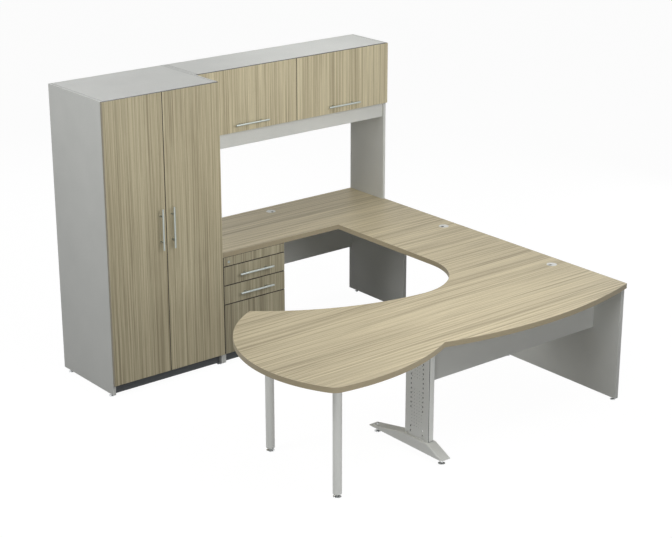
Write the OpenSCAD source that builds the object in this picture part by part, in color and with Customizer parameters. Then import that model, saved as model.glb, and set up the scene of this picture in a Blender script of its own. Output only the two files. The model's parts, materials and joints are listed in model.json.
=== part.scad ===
// Executive desk suite: wardrobe, credenza with drawer pedestal and overhead hutch, bridge,
// and a bow-fronted desk that runs on into a rounded meeting lobe.
// Drawn in millimetres from the wardrobe's left front corner on the floor: +X runs along the
// cabinet fronts, +Y to the back and +Z up. suite() then moves the floor centre to the origin.

/* [Suite] */
// Height of the worktops above the floor
desk_h = 750; // [700:1:800]
// Thickness of the worktops
top_t = 30; // [22:1:40]
// Thickness of the carcass boards
board_t = 18; // [15:0.5:22]
// Thickness of the two end panels
panel_t = 25; // [18:1:30]
// Thickness of doors, flaps and drawer fronts
door_t = 18; // [15:0.5:22]
// Thickness of the cabinet backs
back_t = 8; // [4:1:18]
// Thickness of the plastic edge bands
band_t = 2; // [1:0.5:3]
// Depth of the cabinets behind their fronts
cabinet_d = 580; // [500:5:700]
// Height of the levelling glides under the boards
glide_h = 15; // [12:1:30]
// Gap between neighbouring fronts
front_gap = 3; // [2:0.5:5]

/* [Wardrobe] */
// Width over the side panels
wardrobe_w = 810; // [700:5:1000]
// Height over the side panels
wardrobe_h = 1825; // [1650:5:2000]
// Height of the doors' lower edge
door_z = 80; // [60:1:120]
// Number of shelves
shelf_count = 4; // [1:1:6]
// Set-back of the kick boards behind the carcass front
kick_recess = 25; // [15:1:60]
// Set-back of the shelves behind the carcass front, clear of the hinges
shelf_setback = 66; // [64:1:100]
// Number of hinges on each wardrobe door
door_hinge_count = 4; // [2:1:6]
// Height of the middle of the door pulls
door_pull_z = 1000; // [800:5:1300]
// Distance of the door pulls from the split between the doors
door_pull_in = 40; // [25:1:70]

/* [Hutch] */
// Depth of the hutch behind its flaps
hutch_d = 347; // [300:1:400]
// Height of the two flaps
flap_h = 403; // [330:1:480]
// Height of the valance rail
valance_h = 90; // [60:1:120]
// Set-back of the valance behind the hutch front
valance_setback = 16; // [8:1:40]
// Height of the flap pulls above the flaps' lower edge
flap_pull_up = 50; // [35:1:90]
// Distance of the middle of a flap pull from the split
flap_pull_in = 370; // [300:1:420]
// Number of hinges on each flap
flap_hinge_count = 3; // [2:1:4]

/* [Credenza and pedestal] */
// Length of the credenza top, from the wardrobe to its right end
credenza_w = 1522; // [1300:2:1800]
// Height of the clear space below the credenza's modesty panel
credenza_modesty_z = 325; // [200:5:450]
// Set-back of the modesty panel from the cabinet's back
credenza_modesty_in = 6; // [0:1:40]
// Width of the pedestal over its sides
pedestal_w = 474; // [400:2:520]
// Height of the lock rail above the drawers
lock_rail_h = 60; // [45:1:75]
// Height of each box drawer's front
box_front_h = 122; // [105:1:135]
// Diameter of the lock barrel
lock_d = 16; // [12:0.5:20]
// Distance of the lock from the rail's left end
lock_in = 40; // [30:1:80]
// Depth of the steel drawer boxes
drawer_d = 500; // [450:5:520]
// Height of the sides of a box drawer
box_side_h = 90; // [60:1:100]
// Height of the sides of the file drawer
file_side_h = 240; // [150:5:260]

/* [Pulls] */
// Length of the pulls' bars
pull_l = 256; // [200:1:320]
// Diameter of the bars
pull_d = 12; // [10:0.5:14]
// Distance between the two posts of a pull
pull_post_pitch = 160; // [128:1:192]
// Diameter of the posts
pull_post_d = 9; // [7:0.5:10]
// Distance from the front's face to the bar's axis
pull_reach = 32; // [26:1:40]

/* [Bridge and desk top] */
// Width of the bridge, and of the desk where it meets the bridge
bridge_w = 610; // [500:5:700]
// Length of the bridge between the credenza and the desk
bridge_l = 900; // [700:5:1100]
// Depth of the desk top along its right end
desk_end_d = 1023; // [950:1:1100]
// Width of the bow front, from the right end to the notch
bow_w = 1447; // [1400:1:1500]
// Rise of the bow front over its chord
bow_rise = 104; // [60:1:150]
// How far the notch lies in front of the right front corner
notch_out = 9; // [0:1:40]
// Width of the lobe's front arc, from the notch to the lobe's corner
lobe_w = 833; // [780:1:880]
// How far the lobe's corner lies in front of the notch
lobe_out = 110; // [90:1:140]
// Rise of the lobe's front arc
lobe_front_rise = 73; // [55:1:90]
// Distance along X from the lobe's corner to its back tip
lobe_tip_in = 300; // [270:1:330]
// Distance along Y from the lobe's corner to its back tip
lobe_tip_back = 1138; // [1100:1:1170]
// Rise of the lobe's left arc
lobe_left_rise = 270; // [240:1:300]
// Radius of the lobe's rounded front corner
lobe_corner_r = 85; // [40:1:120]
// Radius of the curve where the bridge turns into the desk
knee_corner_r = 400; // [340:1:440]
// Radius of the long hollow curve from there to the tip
knee_r = 1600; // [1300:10:2000]

/* [Desk frame] */
// Set-back of the desk end panel behind the front corner
end_panel_front_in = 16; // [8:1:60]
// Set-back of the desk end panel from the bridge seam
end_panel_back_in = 56; // [30:1:100]
// Distance from the bridge seam to the desk modesty panel's front face
desk_modesty_y = 803; // [760:1:840]
// Height of the clear space below the desk's modesty panel
desk_modesty_z = 416; // [300:1:500]
// Distance from the right end to the middle of the T-leg
leg_in = 1397; // [1370:1:1420]
// Width of the T-leg's column
column_w = 200; // [160:2:240]
// Thickness of the T-leg's column
column_t = 40; // [30:1:50]
// Wall of the column's folded sheet
column_wall = 2; // [1.5:0.5:3]
// Radius of the column's upright edges
column_edge_r = 8; // [4:1:14]
// Radius of the column's two lower corners
column_corner_r = 10; // [6:1:16]
// Width of the foot
foot_w = 70; // [50:1:90]
// Height of the flat middle of the foot
foot_h = 95; // [75:1:120]
// Thickness of the foot's folded sheet
foot_t = 3; // [2:0.5:5]
// Outer radius of the foot's two long folds
foot_fold_r = 7; // [6:0.5:12]
// Height of the foot's two tips
foot_tip_z = 37; // [30:1:45]
// Reach of the foot behind the column
foot_back = 290; // [240:5:340]
// Reach of the foot in front of the column
foot_front = 125; // [100:5:160]
// Diameter of the post legs
post_d = 50; // [40:1:60]
// Wall of the post legs' tube
post_wall = 2; // [1.5:0.5:4]
// Height of the glides under the post legs
post_glide_h = 20; // [14:1:30]
// Reach of the T-leg's top arm in front of the column's middle
arm_front = 200; // [120:5:220]
// Reach of the T-leg's top arm behind the column's middle
arm_back = 400; // [200:5:420]
// Height of the T-leg's top arm
arm_h = 24; // [16:1:40]
// Diameter of the cable port low in the column's inner face
port_d = 60; // [40:1:64]
// Height of the cable port's middle above the floor
port_z = 135; // [130:1:170]

/* [Cable grommets] */
// Diameter of the grommets' flanges
grommet_d = 64; // [54:1:80]
// Diameter of the bores in the worktops
grommet_bore_d = 56; // [46:1:64]
// Distance of the bridge and desk grommets from the right edge
grommet_in = 98; // [70:1:130]
// Distance of the credenza grommet from the back edge
grommet_back_in = 93; // [70:1:130]
// Distance of the credenza grommet from the wardrobe
grommet_credenza_x = 745; // [500:5:1000]

/* [Hidden] */

$fn = 64;
arc_fn = 180;
cut = 1;

grey_laminate = "#c6c7c2";
kick_grey = "#75787a";
wood_laminate = "#bcb08f";
band_brown = "#8e8570";
satin_steel = "#c9cdc8";
zinc_steel = "#a9adad";
leg_silver = "#c8c9c4";
grommet_grey = "#bfc0bb";

// Places that several pieces share
top_z = desk_h - top_t;
right_x = wardrobe_w + credenza_w;
seam_y = -door_t - bridge_l;
hutch_y = cabinet_d - hutch_d;
hutch_z = wardrobe_h - flap_h;
bottom_reveal = 1;
edge_reveal = 2;
glide_d = 32;

// Outline of the desk top: named corners, then the circles that join them
end_corner = [right_x, seam_y - desk_end_d];
notch = [right_x - bow_w, end_corner.y - notch_out];
lobe_corner = [notch.x - lobe_w, notch.y - lobe_out];
lobe_tip = [lobe_corner.x + lobe_tip_in, lobe_corner.y + lobe_tip_back];

function turned(v) = [-v.y, v.x] / norm(v);
function arc_r(p, q, rise) = (pow(norm(q - p) / 2, 2) + rise * rise) / (2 * rise);
function arc_centre(p, q, rise) = (p + q) / 2 + turned(q - p) * (arc_r(p, q, rise) - rise);
function meet_along(a, ra, b, rb) = (ra * ra - rb * rb + pow(norm(b - a), 2)) / (2 * norm(b - a));
function circles_meet(a, ra, b, rb) =
  let (along = meet_along(a, ra, b, rb))
  a + (b - a) / norm(b - a) * along + turned(b - a) * sqrt(ra * ra - along * along);
function toward(from, to, distance) = from + (to - from) / norm(to - from) * distance;

bow_r = arc_r(notch, end_corner, bow_rise);
bow_centre = arc_centre(notch, end_corner, bow_rise);
front_r = arc_r(lobe_corner, notch, lobe_front_rise);
front_centre = arc_centre(lobe_corner, notch, lobe_front_rise);
left_r = arc_r(lobe_tip, lobe_corner, lobe_left_rise);
left_centre = arc_centre(lobe_tip, lobe_corner, lobe_left_rise);
round_centre = circles_meet(
  left_centre, left_r - lobe_corner_r, front_centre, front_r - lobe_corner_r);
knee_corner_centre = [right_x - bridge_w - knee_corner_r, seam_y];
knee_centre = circles_meet(lobe_tip, knee_r, knee_corner_centre, knee_r - knee_corner_r);

// The origin lies on the floor below the middle of the whole suite. On the right a glide can stand
// out a little beyond the thin end panels.
left_end_x = min(0, left_centre.x - left_r);
right_end_x = max(right_x, right_x - panel_t / 2 + glide_d / 2);
front_end_y = min(front_centre.y - front_r, bow_centre.y - bow_r);
middle = [(left_end_x + right_end_x) / 2, (front_end_y + cabinet_d) / 2];

module suite() {
  translate([-middle.x, -middle.y, 0]) children();
}

// A board from its lowest corner and its size
module board(at, size) {
  translate(at) cube(size);
}

// Carcass boards of the wardrobe
side_z = glide_h;
side_h = wardrobe_h - glide_h;
inner_w = wardrobe_w - 2 * board_t;
shelf_d = cabinet_d - back_t - shelf_setback;
bay_bottom_z = door_z + board_t;
bay_h = wardrobe_h - board_t - bay_bottom_z;

module wardrobe_left_side() {
  color(grey_laminate) board([0, 0, side_z], [board_t, cabinet_d, side_h]);
}

module wardrobe_right_side() {
  color(grey_laminate) board([wardrobe_w - board_t, 0, side_z], [board_t, cabinet_d, side_h]);
}

module wardrobe_top() {
  color(grey_laminate)
    board([board_t, 0, wardrobe_h - board_t], [inner_w, cabinet_d, board_t]);
}

module wardrobe_bottom() {
  color(grey_laminate)
    board([board_t, 0, door_z], [inner_w, cabinet_d - back_t, board_t]);
}

module wardrobe_back() {
  color(grey_laminate)
    board([board_t, cabinet_d - back_t, side_z], [inner_w, back_t, side_h - board_t]);
}

module wardrobe_shelves() {
  shelf_pitch = (bay_h - shelf_count * board_t) / (shelf_count + 1) + board_t;
  color(grey_laminate)
    for (i = [1:shelf_count])
      board([board_t, shelf_setback, bay_bottom_z + i * shelf_pitch - board_t],
        [inner_w, shelf_d, board_t]);
}

module kick_boards() {
  kick_h = door_z - glide_h;
  color(kick_grey) {
    board([board_t, kick_recess, glide_h], [inner_w, board_t, kick_h]);
    board([wardrobe_w + board_t, kick_recess, glide_h], [pedestal_w - 2 * board_t, board_t, kick_h]);
  }
}

// Concealed hinges. Their own frame has the carcass's outer front edge as its origin, +X inwards
// across the door, +Y to the back and +Z along the hinge line.
cup_d = 35;
cup_depth = 12.5;
cup_wall = 1;
cup_in = 23.5;
cup_clearance = 0.1;
lever_w = 12;
lever_h = 14;
lever_front = 10;
lever_back = 62;
lever_seat = 1.5;
lever_nose = 4;
lever_bend = 12;
plate_l = 36;
plate_h = 48;
plate_t = 4;
screw_d = 7;
screw_t = 1;
plate_screw_share = 0.33;
lever_screws = [36, 52];
wing_w = 12.5;
wing_h = 62;
wing_t = 1.5;
wing_gap = 22;

// The cup has two wings, screwed flat to the door's back above and below the arm
module hinge_cup() {
  wing_x = board_t + lever_seat;
  rotate([90, 0, 0])
    translate([cup_in, 0, 0])
      difference() {
        cylinder(d = cup_d, h = cup_depth);
        translate([0, 0, -cut]) cylinder(d = cup_d - 2 * cup_wall, h = cup_depth - cup_wall + cut);
      }
  for (side = [-1, 1]) {
    wing_l = (wing_h - wing_gap) / 2;
    board([wing_x, 0, side * (wing_gap + wing_l) / 2 - wing_l / 2], [wing_w, wing_t, wing_l]);
    translate([wing_x + wing_w / 2, wing_t + screw_t, side * (wing_h / 2 - screw_d)])
      rotate([90, 0, 0]) cylinder(d = screw_d, h = screw_t);
  }
}

module cup_bore() {
  rotate([90, 0, 0])
    translate([cup_in, 0, -cut])
      cylinder(d = cup_d + 2 * cup_clearance, h = cup_depth + cup_clearance + cut);
}

// The arm reaches forwards into the cup and is screwed to a plate on the carcass side
module hinge_arm() {
  low = board_t + lever_seat;
  high = low + lever_w;
  translate([0, 0, -lever_h / 2])
    linear_extrude(lever_h)
      polygon([
        [low, -lever_front], [low + lever_nose, -lever_front], [high, lever_bend - lever_front],
        [high, lever_back], [low, lever_back]
      ]);
  board([board_t, lever_back - plate_l, -plate_h / 2], [plate_t, plate_l, plate_h]);
  for (y = lever_screws) translate([high, y, 0]) rotate([0, 90, 0]) cylinder(d = screw_d, h = screw_t);
  for (side = [-1, 1])
    translate([board_t + plate_t, lever_back - plate_l / 2, side * plate_h * plate_screw_share])
      rotate([0, 90, 0]) cylinder(d = screw_d, h = screw_t);
}

// Repeats its children at the hinge places of one wardrobe door
hinge_end_in = 110;
module at_door_hinges() {
  door_h = wardrobe_h - door_z;
  pitch = (door_h - 2 * hinge_end_in) / (door_hinge_count - 1);
  for (i = [0:door_hinge_count - 1]) translate([0, 0, door_z + hinge_end_in + i * pitch]) children();
}

module right_handed(width) {
  translate([width, 0, 0]) mirror([1, 0, 0]) children();
}

door_w = wardrobe_w / 2 - edge_reveal - front_gap / 2;
door_h = wardrobe_h - bottom_reveal - door_z;

module wardrobe_door() {
  difference() {
    board([edge_reveal, -door_t, door_z], [door_w, door_t, door_h]);
    at_door_hinges() cup_bore();
  }
}

module wardrobe_left_door() {
  color(wood_laminate) wardrobe_door();
}

module wardrobe_right_door() {
  color(wood_laminate) right_handed(wardrobe_w) wardrobe_door();
}

module wardrobe_left_hinge_cups() {
  color(zinc_steel) at_door_hinges() hinge_cup();
}

module wardrobe_right_hinge_cups() {
  color(zinc_steel) right_handed(wardrobe_w) at_door_hinges() hinge_cup();
}

// Bar pulls. The bar lies along X over the face at y = 0 and its ends are turned to a bevel.
pull_bevel = 1;

module bar_pull() {
  translate([-pull_l / 2, -pull_reach, 0])
    rotate([0, 90, 0]) {
      cylinder(d1 = pull_d - 2 * pull_bevel, d2 = pull_d, h = pull_bevel);
      translate([0, 0, pull_bevel]) cylinder(d = pull_d, h = pull_l - 2 * pull_bevel);
      translate([0, 0, pull_l - pull_bevel])
        cylinder(d1 = pull_d, d2 = pull_d - 2 * pull_bevel, h = pull_bevel);
    }
  for (side = [-1, 1])
    translate([side * pull_post_pitch / 2, 0, 0])
      rotate([90, 0, 0]) cylinder(d = pull_post_d, h = pull_reach);
}

module upright_pull() {
  rotate([0, 90, 0]) bar_pull();
}

module wardrobe_left_pull() {
  color(satin_steel)
    translate([wardrobe_w / 2 - door_pull_in, -door_t, door_pull_z]) upright_pull();
}

module wardrobe_right_pull() {
  color(satin_steel)
    translate([wardrobe_w / 2 + door_pull_in, -door_t, door_pull_z]) upright_pull();
}

// Hutch: stands on the credenza top, open below the valance and closed by two flaps above
hutch_side_h = wardrobe_h - desk_h;
hutch_inner_w = credenza_w - 2 * board_t;
hutch_floor_cover = 8;
hutch_floor_z = hutch_z + hutch_floor_cover - board_t;
split_x = wardrobe_w + credenza_w / 2;

module hutch_left_side() {
  color(grey_laminate)
    board([wardrobe_w, hutch_y, desk_h], [board_t, hutch_d, hutch_side_h]);
}

module hutch_right_side() {
  color(grey_laminate)
    board([right_x - board_t, hutch_y, desk_h], [board_t, hutch_d, hutch_side_h]);
}

module hutch_top() {
  color(grey_laminate)
    board([wardrobe_w + board_t, hutch_y, wardrobe_h - board_t], [hutch_inner_w, hutch_d, board_t]);
}

module hutch_bottom() {
  color(grey_laminate)
    board([wardrobe_w + board_t, hutch_y, hutch_floor_z], [hutch_inner_w, hutch_d, board_t]);
}

hutch_bay_z = hutch_floor_z + board_t;
hutch_bay_h = wardrobe_h - board_t - hutch_bay_z;

module hutch_back() {
  color(grey_laminate)
    board([wardrobe_w + board_t, cabinet_d - back_t, hutch_bay_z], [hutch_inner_w, back_t, hutch_bay_h]);
}

module hutch_divider() {
  color(grey_laminate)
    board([split_x - board_t / 2, hutch_y, hutch_bay_z], [board_t, hutch_d - back_t, hutch_bay_h]);
}

module hutch_valance() {
  color(grey_laminate)
    board([wardrobe_w + board_t, hutch_y + valance_setback, hutch_floor_z - valance_h],
      [hutch_inner_w, board_t, valance_h]);
}

flap_w = credenza_w / 2 - edge_reveal - front_gap / 2;
flap_hinge_in = 120;

// Turns the hinge frame so that its hinge line runs along X at the top of a flap
module at_flap_hinges(flap_x) {
  pitch = (flap_w - 2 * flap_hinge_in) / (flap_hinge_count - 1);
  for (i = [0:flap_hinge_count - 1])
    translate([flap_x + flap_hinge_in + i * pitch, hutch_y, wardrobe_h])
      rotate([0, 90, 0]) children();
}

left_flap_x = wardrobe_w + edge_reveal;
right_flap_x = split_x + front_gap / 2;

module flap(flap_x) {
  difference() {
    board([flap_x, hutch_y - door_t, hutch_z], [flap_w, door_t, flap_h - bottom_reveal]);
    at_flap_hinges(flap_x) cup_bore();
  }
}

module hutch_left_flap() {
  color(wood_laminate) flap(left_flap_x);
}

module hutch_right_flap() {
  color(wood_laminate) flap(right_flap_x);
}

module hutch_left_hinge_cups() {
  color(zinc_steel) at_flap_hinges(left_flap_x) hinge_cup();
}

module hutch_right_hinge_cups() {
  color(zinc_steel) at_flap_hinges(right_flap_x) hinge_cup();
}

module hutch_left_pull() {
  color(satin_steel)
    translate([split_x - flap_pull_in, hutch_y - door_t, hutch_z + flap_pull_up]) bar_pull();
}

module hutch_right_pull() {
  color(satin_steel)
    translate([split_x + flap_pull_in, hutch_y - door_t, hutch_z + flap_pull_up]) bar_pull();
}

module hinge_arms() {
  color(zinc_steel) {
    at_door_hinges() hinge_arm();
    right_handed(wardrobe_w) at_door_hinges() hinge_arm();
    at_flap_hinges(left_flap_x) hinge_arm();
    at_flap_hinges(right_flap_x) hinge_arm();
  }
}

// Cable grommets: a stepped bore in the worktop, a flanged liner let into it flush with the top,
// and a slotted cap on the liner's ledge
liner_wall = 2;
liner_flange_t = 2.5;
liner_clearance = 0.1;
liner_below = 2;
ledge_w = 3;
ledge_t = 2;
cap_clearance = 0.3;
cap_slot_w = 18;
cap_slot_l = 15;
liner_bore_d = grommet_bore_d - 2 * liner_clearance - 2 * liner_wall;
credenza_grommet = [wardrobe_w + grommet_credenza_x, cabinet_d - grommet_back_in];
bridge_grommet = [right_x - grommet_in, (seam_y - door_t) / 2];
desk_grommet = [right_x - grommet_in, seam_y - desk_end_d / 2];

seat_z = desk_h - liner_flange_t;

module grommet_bore(place) {
  translate([place.x, place.y, top_z - cut]) cylinder(d = grommet_bore_d, h = top_t + 2 * cut);
  translate([place.x, place.y, seat_z])
    cylinder(d = grommet_d + 2 * liner_clearance, h = liner_flange_t + cut);
}

module grommet_liner(place) {
  sleeve_h = top_t - liner_flange_t + liner_below;
  translate([place.x, place.y, seat_z])
    difference() {
      union() {
        translate([0, 0, -sleeve_h]) cylinder(d = grommet_bore_d - 2 * liner_clearance, h = sleeve_h);
        cylinder(d = grommet_d, h = liner_flange_t);
      }
      translate([0, 0, -sleeve_h - cut])
        cylinder(d = liner_bore_d - 2 * ledge_w, h = sleeve_h + liner_flange_t + 2 * cut);
      cylinder(d = liner_bore_d, h = liner_flange_t + cut);
      translate([0, 0, -sleeve_h - cut]) cylinder(d = liner_bore_d, h = sleeve_h - ledge_t + cut);
    }
}

module grommet_cap() {
  cap_d = liner_bore_d - 2 * cap_clearance;
  difference() {
    cylinder(d = cap_d, h = liner_flange_t);
    translate([-cap_d / 2 - cut, -cap_slot_w / 2, -cut])
      cube([cap_slot_l + cut, cap_slot_w, liner_flange_t + 2 * cut]);
    translate([cap_slot_l - cap_d / 2, 0, -cut])
      cylinder(d = cap_slot_w, h = liner_flange_t + 2 * cut);
  }
}

module grommet_liners() {
  color(grommet_grey) {
    grommet_liner(credenza_grommet);
    grommet_liner(bridge_grommet);
    grommet_liner(desk_grommet);
  }
}

// Each cap's slot faces away from the worktop's nearer edge
module credenza_grommet_cap() {
  color(grommet_grey)
    translate([credenza_grommet.x, credenza_grommet.y, seat_z]) rotate([0, 0, 90]) grommet_cap();
}

module bridge_grommet_cap() {
  color(grommet_grey) translate([bridge_grommet.x, bridge_grommet.y, seat_z]) grommet_cap();
}

module desk_grommet_cap() {
  color(grommet_grey) translate([desk_grommet.x, desk_grommet.y, seat_z]) grommet_cap();
}

// Credenza: its top is flush with the drawer fronts
module credenza_outline(inset) {
  translate([wardrobe_w, -door_t + inset])
    square([credenza_w - inset, cabinet_d + door_t - 2 * inset]);
}

module credenza_top() {
  color(wood_laminate)
    difference() {
      translate([0, 0, top_z]) linear_extrude(top_t) credenza_outline(band_t);
      grommet_bore(credenza_grommet);
    }
}

module credenza_end_panel() {
  color(grey_laminate)
    board([right_x - panel_t, 0, glide_h], [panel_t, cabinet_d, top_z - glide_h]);
}

module credenza_modesty() {
  left = wardrobe_w + pedestal_w;
  color(grey_laminate)
    board([left, cabinet_d - credenza_modesty_in - board_t, credenza_modesty_z],
      [right_x - panel_t - left, board_t, top_z - credenza_modesty_z]);
}

// Pedestal carcass
pedestal_inner_x = wardrobe_w + board_t;
pedestal_inner_w = pedestal_w - 2 * board_t;

module pedestal_sides() {
  color(grey_laminate)
    for (x = [wardrobe_w, wardrobe_w + pedestal_w - board_t])
      board([x, 0, glide_h], [board_t, cabinet_d, top_z - glide_h]);
}

module pedestal_back() {
  color(grey_laminate)
    board([pedestal_inner_x, cabinet_d - back_t, door_z], [pedestal_inner_w, back_t, top_z - door_z]);
}

module pedestal_bottom() {
  color(grey_laminate)
    board([pedestal_inner_x, 0, door_z], [pedestal_inner_w, cabinet_d - back_t, board_t]);
}

lock_rail_z = top_z - lock_rail_h;
front_x = wardrobe_w + edge_reveal;
front_w = pedestal_w - 2 * edge_reveal;
lock_clearance = 0.05;
lock_proud = 2;
lock_up_share = 0.42;
lock_place = [front_x + lock_in, lock_rail_z + lock_rail_h * lock_up_share];

// Runs a child's Z axis forwards out of the drawer fronts
module facing_front(x, y, z) {
  translate([x, y, z]) rotate([90, 0, 0]) children();
}

module pedestal_lock_rail() {
  color(wood_laminate)
    difference() {
      board([front_x, -door_t, lock_rail_z], [front_w, door_t, lock_rail_h - bottom_reveal]);
      facing_front(lock_place.x, cut, lock_place.y)
        cylinder(d = lock_d + 2 * lock_clearance, h = door_t + 2 * cut);
    }
}

keyway_w = 2;
keyway_l = 8;
keyway_depth = 3;
cam_w = 10;
cam_reach = 22;
cam_t = 2.5;
cam_gap = 0.5;

module pedestal_lock() {
  color(satin_steel) {
    difference() {
      facing_front(lock_place.x, cam_gap, lock_place.y)
        cylinder(d = lock_d, h = door_t + lock_proud + cam_gap);
      board([lock_place.x - keyway_w / 2, -door_t - lock_proud - cut, lock_place.y - keyway_l / 2],
        [keyway_w, keyway_depth + cut, keyway_l]);
    }
    facing_front(lock_place.x, cam_gap + cam_t, lock_place.y) {
      cylinder(d = lock_d, h = cam_t);
      translate([-cam_w / 2, 0, 0]) cube([cam_w, cam_reach, cam_t]);
      translate([0, cam_reach, 0]) cylinder(d = cam_w, h = cam_t);
    }
  }
}

// Drawer runners. Each section is drawn on the carcass side's inner face, +X into the cabinet.
runner_t = 1.5;
runner_gap = 0.5;
runner_w = 13;
runner_h = 44;
runner_y = 12;
file_runner_h = 52;
box_wall = 1.5;
box_lift = 12;
box_front_seat = 1.5;

module channel(height, width) {
  difference() {
    translate([0, -height / 2]) square([width, height]);
    translate([runner_t, -height / 2 + runner_t]) square([width, height - 2 * runner_t]);
  }
}

// Extrudes a runner section along Y at one height and repeats it, handed, on both sides
module both_runners(y, z, length) {
  for (side = [0, 1])
    translate([pedestal_inner_x + side * pedestal_inner_w, y + length, z])
      mirror([side, 0, 0]) rotate([90, 0, 0]) linear_extrude(length) children();
}

upper_front_z = lock_rail_z - front_gap - box_front_h;
middle_front_z = upper_front_z - front_gap - box_front_h;
file_front_z = door_z + bottom_reveal;
file_front_h = middle_front_z - front_gap - file_front_z;
upper_runner_z = upper_front_z + box_lift + box_side_h / 2;
middle_runner_z = middle_front_z + box_lift + box_side_h / 2;
file_runner_z = file_front_z + box_lift + board_t + file_side_h / 2;
inner_step = runner_t + runner_gap;

module drawer_runners() {
  color(zinc_steel) {
    for (z = [upper_runner_z, middle_runner_z])
      both_runners(runner_y, z, drawer_d) channel(runner_h, runner_w - runner_gap);
    both_runners(runner_y, file_runner_z, drawer_d) channel(file_runner_h, runner_w - runner_gap);
  }
}

module file_slide_middle() {
  color(zinc_steel)
    both_runners(runner_y, file_runner_z, drawer_d)
      translate([inner_step, 0])
        channel(file_runner_h - 2 * inner_step, runner_w - inner_step - runner_gap);
}

// A steel drawer box, open at the top, with the runners' inner members folded along its sides
module drawer_box(z, side_h, rail_z, rail_h, rail_in) {
  box_x = pedestal_inner_x + runner_w;
  box_w = pedestal_inner_w - 2 * runner_w;
  difference() {
    board([box_x, 0, z], [box_w, drawer_d + runner_y, side_h]);
    board([box_x + box_wall, box_wall, z + box_wall],
      [box_w - 2 * box_wall, drawer_d + runner_y - 2 * box_wall, side_h]);
  }
  both_runners(runner_y, rail_z, drawer_d)
    translate([rail_in, -rail_h / 2]) square([runner_w - rail_in, rail_h]);
}

module box_drawer_box(front_z, runner_z) {
  color(zinc_steel)
    drawer_box(front_z + box_lift, box_side_h, runner_z, runner_h - 2 * inner_step, inner_step);
}

module upper_drawer_box() {
  box_drawer_box(upper_front_z, upper_runner_z);
}

module middle_drawer_box() {
  box_drawer_box(middle_front_z, middle_runner_z);
}

module file_drawer_box() {
  color(zinc_steel)
    drawer_box(file_front_z + box_lift + board_t, file_side_h, file_runner_z,
      file_runner_h - 4 * inner_step, 2 * inner_step);
}

module drawer_front(z, height) {
  color(wood_laminate) board([front_x, -door_t, z], [front_w, door_t, height]);
}

module drawer_pull(z) {
  color(satin_steel) translate([wardrobe_w + pedestal_w / 2, -door_t, z]) bar_pull();
}

module upper_drawer_front() {
  drawer_front(upper_front_z, box_front_h);
}

module middle_drawer_front() {
  drawer_front(middle_front_z, box_front_h);
}

module file_drawer_front() {
  drawer_front(file_front_z, file_front_h);
}

module upper_drawer_pull() {
  drawer_pull(upper_front_z + box_front_h / 2);
}

module middle_drawer_pull() {
  drawer_pull(middle_front_z + box_front_h / 2);
}

module file_drawer_pull() {
  drawer_pull(file_front_z + file_front_h / 2);
}

// Bridge top between the credenza's front edge and the desk's seam
module bridge_outline(inset) {
  translate([right_x - bridge_w + inset, seam_y]) square([bridge_w - 2 * inset, bridge_l]);
}

module bridge_top() {
  color(wood_laminate)
    difference() {
      translate([0, 0, top_z]) linear_extrude(top_t) bridge_outline(band_t);
      grommet_bore(bridge_grommet);
    }
}

// Desk top outline, drawn in by a band's thickness for the board behind the edge band
module disc(centre, radius) {
  translate(centre) circle(r = radius, $fn = arc_fn);
}

module bow_area(inset) {
  lobe_middle_x = left_centre.x;
  intersection() {
    disc(bow_centre, bow_r - inset);
    translate([lobe_middle_x, bow_centre.y - bow_r])
      square([right_x - inset - lobe_middle_x, seam_y - bow_centre.y + bow_r]);
  }
}

module lobe_area(inset) {
  on_left = toward(left_centre, round_centre, left_r);
  on_front = toward(front_centre, round_centre, front_r);
  difference() {
    intersection() {
      disc(left_centre, left_r - inset);
      disc(front_centre, front_r - inset);
    }
    difference() {
      polygon([round_centre, on_left, on_left + on_front - round_centre, on_front]);
      translate(round_centre) circle(r = lobe_corner_r - inset);
    }
  }
}

module knee_area(inset) {
  blend = toward(knee_centre, knee_corner_centre, knee_r + inset);
  disc(knee_corner_centre, knee_corner_r + inset);
  intersection() {
    disc(knee_centre, knee_r + inset);
    translate([blend.x - 2 * knee_r, knee_centre.y - 2 * knee_r]) square([2 * knee_r, 4 * knee_r]);
  }
}

module desk_outline(inset) {
  difference() {
    union() {
      bow_area(inset);
      lobe_area(inset);
    }
    knee_area(inset);
  }
}

module desk_top() {
  color(wood_laminate)
    difference() {
      translate([0, 0, top_z]) linear_extrude(top_t) desk_outline(band_t);
      grommet_bore(desk_grommet);
    }
}

module edge_bands() {
  color(band_brown)
    translate([0, 0, top_z]) linear_extrude(top_t) {
      difference() {
        credenza_outline(0);
        credenza_outline(band_t);
      }
      difference() {
        bridge_outline(0);
        bridge_outline(band_t);
      }
      difference() {
        desk_outline(0);
        desk_outline(band_t);
      }
    }
}

// Desk frame: end panel, modesty panel, T-leg and post legs
module desk_end_panel() {
  front = end_corner.y + end_panel_front_in;
  color(grey_laminate)
    board([right_x - panel_t, front, glide_h],
      [panel_t, seam_y - end_panel_back_in - front, top_z - glide_h]);
}

leg_x = right_x - leg_in;
modesty_front_y = seam_y - desk_modesty_y;
column_y = modesty_front_y + board_t;

module desk_modesty() {
  left = leg_x + column_t / 2;
  color(grey_laminate)
    board([left, modesty_front_y, desk_modesty_z],
      [right_x - panel_t - left, board_t, top_z - desk_modesty_z]);
}

// T-leg column: a rounded sheet case with hanging slots along both edges. The outer face carries a
// field of perforations and the inner face a cable port. Patterns have +X across and +Y upwards.
slot_w = 6;
slot_l = 12;
slot_pitch = 28;
slot_in = 49;
slot_low_z = 27;
slot_low_count = 2;
slot_high_z = 172;
perforation_d = 4;
perforation_pitch = 20;
perforation_rows = 12;
perforation_low_z = 65;
perforation_high_z = 359;
seam_groove_w = 5;

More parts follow.
